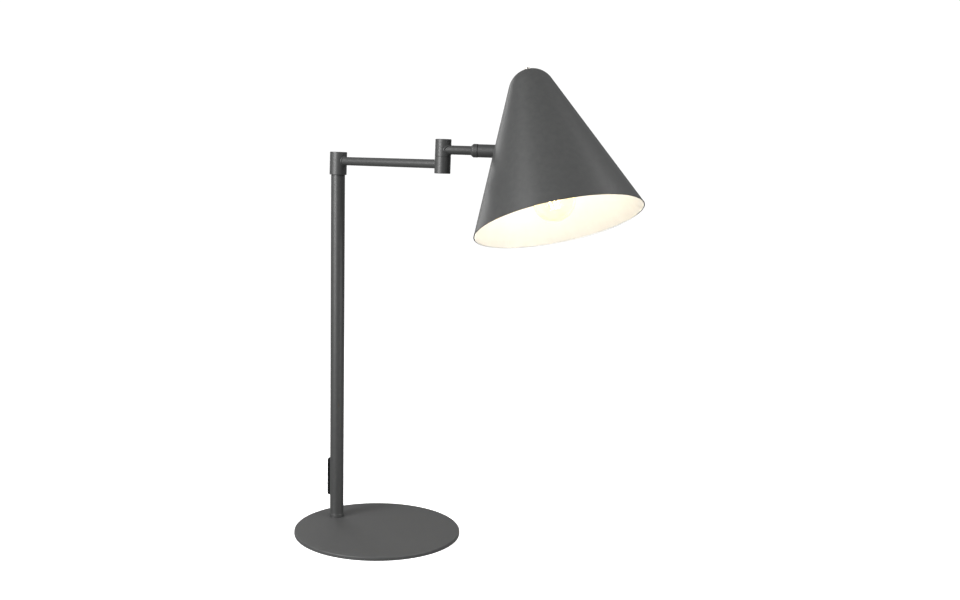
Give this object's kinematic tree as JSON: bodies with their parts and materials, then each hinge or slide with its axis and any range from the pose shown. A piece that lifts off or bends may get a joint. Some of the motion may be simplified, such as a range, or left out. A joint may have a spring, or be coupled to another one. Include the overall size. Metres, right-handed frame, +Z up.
{
  "type": "architect desk lamp",
  "caption": "Desk lamp with a round flat base, an upright tube, jointed horizontal arms that swing in the plane of the table, and a conical metal shade that turns about the outer arm.",
  "frame": {"origin": "centre of the round base's underside, on the table", "axes": "+Z up the post; +X from the post towards the base centre, the first arm's direction at rest"},
  "size_m": [0.4099, 0.2309, 0.5503],
  "materials": {
    "dark_coat": "fine-texture powder coat, matt anthracite, on steel",
    "shade_coat": "fine-texture powder coat, matt anthracite outside and ivory white inside, on spun aluminium",
    "zinc_steel": "zinc-plated steel",
    "dark_screw": "blackened steel screw",
    "rubber_pad": "black non-slip foam rubber",
    "black_rubber": "soft black rubber grommet",
    "black_plastic": "satin black moulded plastic",
    "black_nylon": "black nylon washer",
    "lead_sheath": "black lead sheath",
    "white_holder": "white moulded lampholder",
    "brass": "bright brass",
    "nickel_cap": "nickel-plated bulb cap",
    "bulb_glass": "clear bulb glass",
    "filament": "glowing filament rod"
  },
  "bodies": {
    "stand": {"base_plate": "dark_coat", "base_pad": "rubber_pad", "post_foot": "dark_coat", "foot_screw": "zinc_steel", "foot_dowel": "zinc_steel", "post_tube": "dark_coat", "post_bush": "zinc_steel", "swivel_washer": "black_nylon", "cord_gland": "black_rubber", "switch_housing": "black_plastic", "switch_terminal_upper": "brass", "switch_terminal_lower": "brass", "lead_inlet": "lead_sheath", "lead_post": "lead_sheath"},
    "rocker": {"switch_rocker": "black_plastic"},
    "first_arm": {"swivel_cap": "dark_coat", "swivel_screw": "zinc_steel", "arm_1_tube": "dark_coat", "lead_arm_1": "lead_sheath", "elbow_lower": "dark_coat", "elbow_lower_plug": "dark_coat", "elbow_pivot": "zinc_steel", "elbow_stop_pin": "zinc_steel", "elbow_washer": "zinc_steel", "elbow_nut": "zinc_steel"},
    "second_arm": {"elbow_upper": "dark_coat", "elbow_upper_plug": "dark_coat", "arm_2_tube": "dark_coat", "arm_collar": "dark_coat", "shade_pivot": "zinc_steel", "shade_stop_pin": "zinc_steel", "shade_washer": "zinc_steel", "shade_nut": "zinc_steel", "lead_arm_2": "lead_sheath"},
    "shade": {"shade_shell": "shade_coat", "shade_sleeve": "dark_coat", "groove_washer": "black_nylon", "lead_shade": "lead_sheath", "hanger_rod": "zinc_steel", "apex_screw": "dark_screw", "lampholder_body": "white_holder", "lampholder_cap": "white_holder", "lampholder_shell": "brass", "lampholder_contact": "brass", "bulb_glass": "bulb_glass", "bulb_cap": "nickel_cap", "bulb_contact": "nickel_cap", "bulb_stem": "bulb_glass", "bulb_filament_1": "filament", "bulb_filament_2": "filament", "bulb_filament_3": "filament", "bulb_filament_4": "filament"}
  },
  "joints": [
    {"name": "arm_swing", "type": "hinge", "parent": "stand", "child": "first_arm", "pos_m": [-0.069, 0, 0.4307], "axis": [0, 0, 1], "range_deg": [-150, 150]},
    {"name": "elbow_swing", "type": "hinge", "parent": "first_arm", "child": "second_arm", "pos_m": [0.09464, 0, 0.45124], "axis": [0.0279, 0, 0.9996], "range_deg": [-127.3, 72.7]},
    {"name": "shade_turn", "type": "hinge", "parent": "second_arm", "child": "shade", "pos_m": [0.13203, 0.01515, 0.4579], "axis": [0.8883, 0.4586, -0.0248], "range_deg": [-84.1, 115.9]},
    {"name": "switch_rock", "type": "hinge", "parent": "stand", "child": "rocker", "pos_m": [-0.0794, 0, 0.0543], "axis": [0, 1, 0], "range_deg": [-10, 0]}
  ]
}
